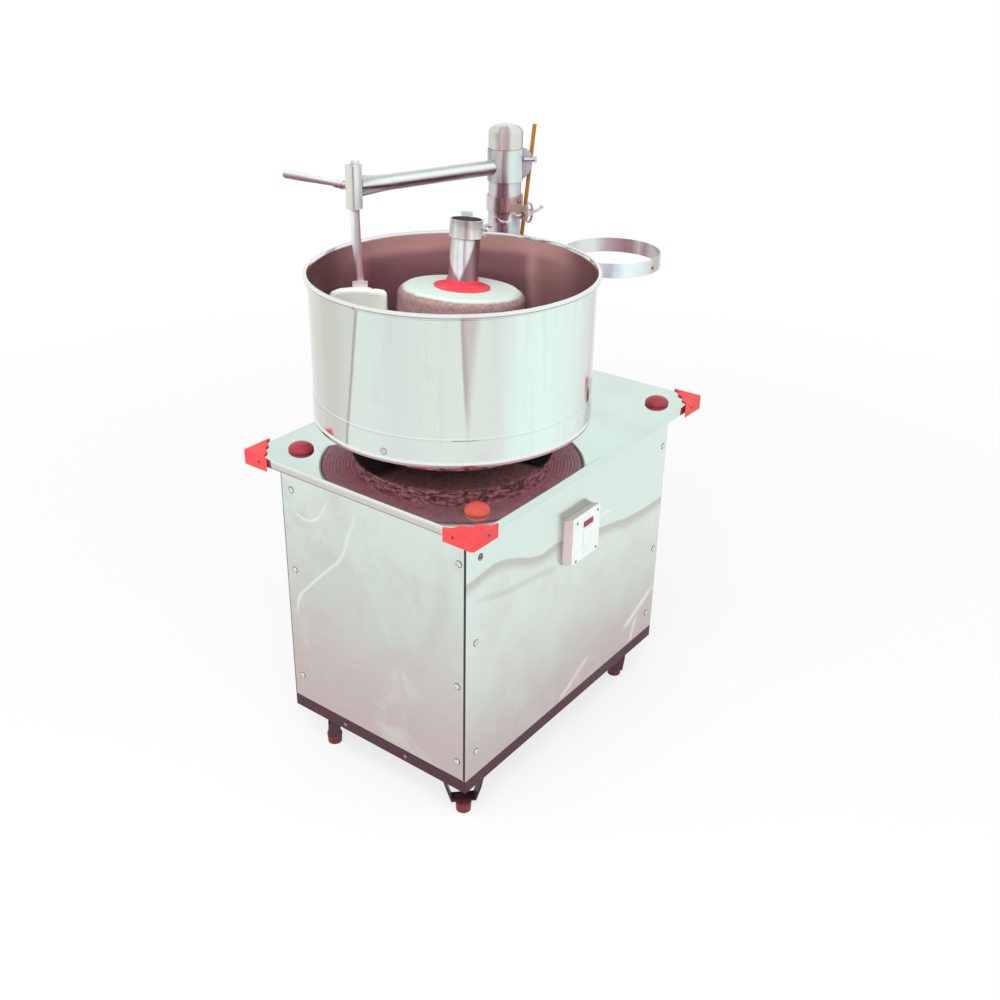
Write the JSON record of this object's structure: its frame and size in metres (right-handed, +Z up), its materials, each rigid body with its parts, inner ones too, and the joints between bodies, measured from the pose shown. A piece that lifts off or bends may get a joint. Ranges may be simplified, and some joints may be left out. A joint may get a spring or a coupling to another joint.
{
  "type": "wet grinder",
  "caption": "Floor-standing wet grinder: turning steel drum with a stone bed, leaning conical roller stone, scraper arm on a post, and a belt drive in a sheet-steel cabinet",
  "frame": {"origin": "on the floor, under the middle of the cabinet", "axes": "+Z up, +X out of the side with the switch, +Y from the drum towards the post"},
  "size_m": [0.6223, 0.7317, 1.112],
  "materials": {
    "sheet_steel": "satin stainless sheet",
    "bright_steel": "polished stainless steel",
    "shaft_steel": "turned steel",
    "plum_paint": "dark plum paint",
    "grey_casting": "grey enamel on a casting",
    "cast_iron": "turned cast iron",
    "granite": "pinkish speckled granite",
    "red_rubber": "dark red rubber",
    "black_rubber": "black rubber",
    "coral_plastic": "coral red plastic",
    "red_plastic": "dark red plastic",
    "white_plastic": "white switch plastic",
    "red_lens": "clear red lens",
    "cream_plastic": "cream food-grade plastic",
    "brown_lacquer": "brown lacquer"
  },
  "bodies": {
    "stand": {"foot_strap_corner": "plum_paint", "foot_strap_near": "plum_paint", "foot_strap_far": "plum_paint", "foot_strap_hidden": "plum_paint", "base_frame": "plum_paint", "inner_frame": "plum_paint", "bearing_bridge": "plum_paint", "motor_plate": "plum_paint", "foot_pad_corner": "red_rubber", "foot_pad_near": "red_rubber", "foot_pad_far": "red_rubber", "foot_pad_hidden": "red_rubber", "side_sheet_front": "sheet_steel", "side_sheet_back": "sheet_steel", "end_sheet_near": "sheet_steel", "end_sheet_far": "sheet_steel", "top_tray": "sheet_steel", "corner_guard_front": "coral_plastic", "corner_guard_left": "coral_plastic", "corner_guard_right": "coral_plastic", "corner_guard_back": "coral_plastic", "tray_plug_front": "red_plastic", "tray_plug_left": "red_plastic", "tray_plug_right": "red_plastic", "tray_plug_back": "red_plastic", "switch_box": "white_plastic", "switch_cover": "white_plastic", "pilot_lens": "red_lens", "cord_gland": "black_rubber", "drive_belt": "black_rubber", "bearing_housing": "grey_casting", "motor_body": "grey_casting", "post_tube": "bright_steel", "post_cap": "bright_steel", "lower_collar": "bright_steel", "side_rod": "brown_lacquer"},
    "drum": {"drum_shell": "sheet_steel", "bed_stone": "granite", "hub_plate": "cast_iron", "main_shaft": "shaft_steel", "drum_pulley": "cast_iron"},
    "motor_rotor": {"motor_shaft": "shaft_steel", "motor_pulley": "cast_iron"},
    "roller": {"roller_stone": "granite", "roller_flange": "coral_plastic", "roller_sleeve": "bright_steel", "sleeve_mouth": "bright_steel"},
    "rocker": {"switch_rocker": "white_plastic"},
    "arm": {"arm_sleeve": "bright_steel", "arm_tube": "bright_steel", "stem_holder": "bright_steel"},
    "arm_bolt": {"arm_lock_bolt": "shaft_steel"},
    "clamp_screw": {"stem_clamp_screw": "bright_steel"},
    "scraper": {"scraper_stem": "bright_steel", "scraper_paddle": "cream_plastic"},
    "yoke": {"yoke_bar": "bright_steel"},
    "nut": {"wing_nut": "bright_steel"},
    "ring": {"rest_ring": "bright_steel", "ring_bracket": "bright_steel"}
  },
  "joints": [
    {"name": "drum_spin", "type": "hinge", "parent": "stand", "child": "drum", "pos_m": [-0.006, -0.086, 0.7], "axis": [0, 0, 1], "continuous": true},
    {"name": "motor_spin", "type": "hinge", "parent": "stand", "child": "motor_rotor", "pos_m": [-0.006, 0.2, 0.3], "axis": [0, 0, 1], "continuous": true},
    {"name": "roller_spin", "type": "hinge", "parent": "stand", "child": "roller", "pos_m": [-0.061, -0.0015, 0.7556], "axis": [0, 0.1097, 0.994], "continuous": true},
    {"name": "rocker_tilt", "type": "hinge", "parent": "stand", "child": "rocker", "pos_m": [0.2226, 0.0135, 0.4449], "axis": [0, -1, 0], "range_deg": [0, 8]},
    {"name": "arm_swing", "type": "hinge", "parent": "stand", "child": "arm", "pos_m": [-0.105, 0.194, 1.04], "axis": [0, 0, 1], "range_deg": [0, 3]},
    {"name": "arm_bolt_turn", "type": "hinge", "parent": "arm", "child": "arm_bolt", "pos_m": [-0.07533, 0.20986, 1.0502], "axis": [0.7837, 0.6212, 0], "range_deg": [-180, 180]},
    {"name": "clamp_turn", "type": "hinge", "parent": "arm", "child": "clamp_screw", "pos_m": [-0.23, -0.112, 1.0382], "axis": [-1, 0, 0], "range_deg": [-180, 180]},
    {"name": "stem_lift", "type": "slide", "parent": "arm", "child": "scraper", "axis": [0, 0, 1], "range_m": [0, 0.06]},
    {"name": "yoke_pull", "type": "slide", "parent": "stand", "child": "yoke", "axis": [0.0958, 0.9954, 0], "range_m": [0, 0.01]},
    {"name": "nut_turn", "type": "hinge", "parent": "stand", "child": "nut", "pos_m": [-0.0506, 0.175, 0.9596], "axis": [0.0958, 0.9954, 0], "range_deg": [0, 3600]},
    {"name": "ring_swing", "type": "hinge", "parent": "stand", "child": "ring", "pos_m": [-0.105, 0.194, 0.87], "axis": [0, 0, 1], "range_deg": [-9, 80]}
  ],
  "couplings": [
    {"joint": "motor_spin", "follows": "drum_spin", "ratio": 7.905},
    {"joint": "roller_spin", "follows": "drum_spin", "ratio": 2.2}
  ]
}
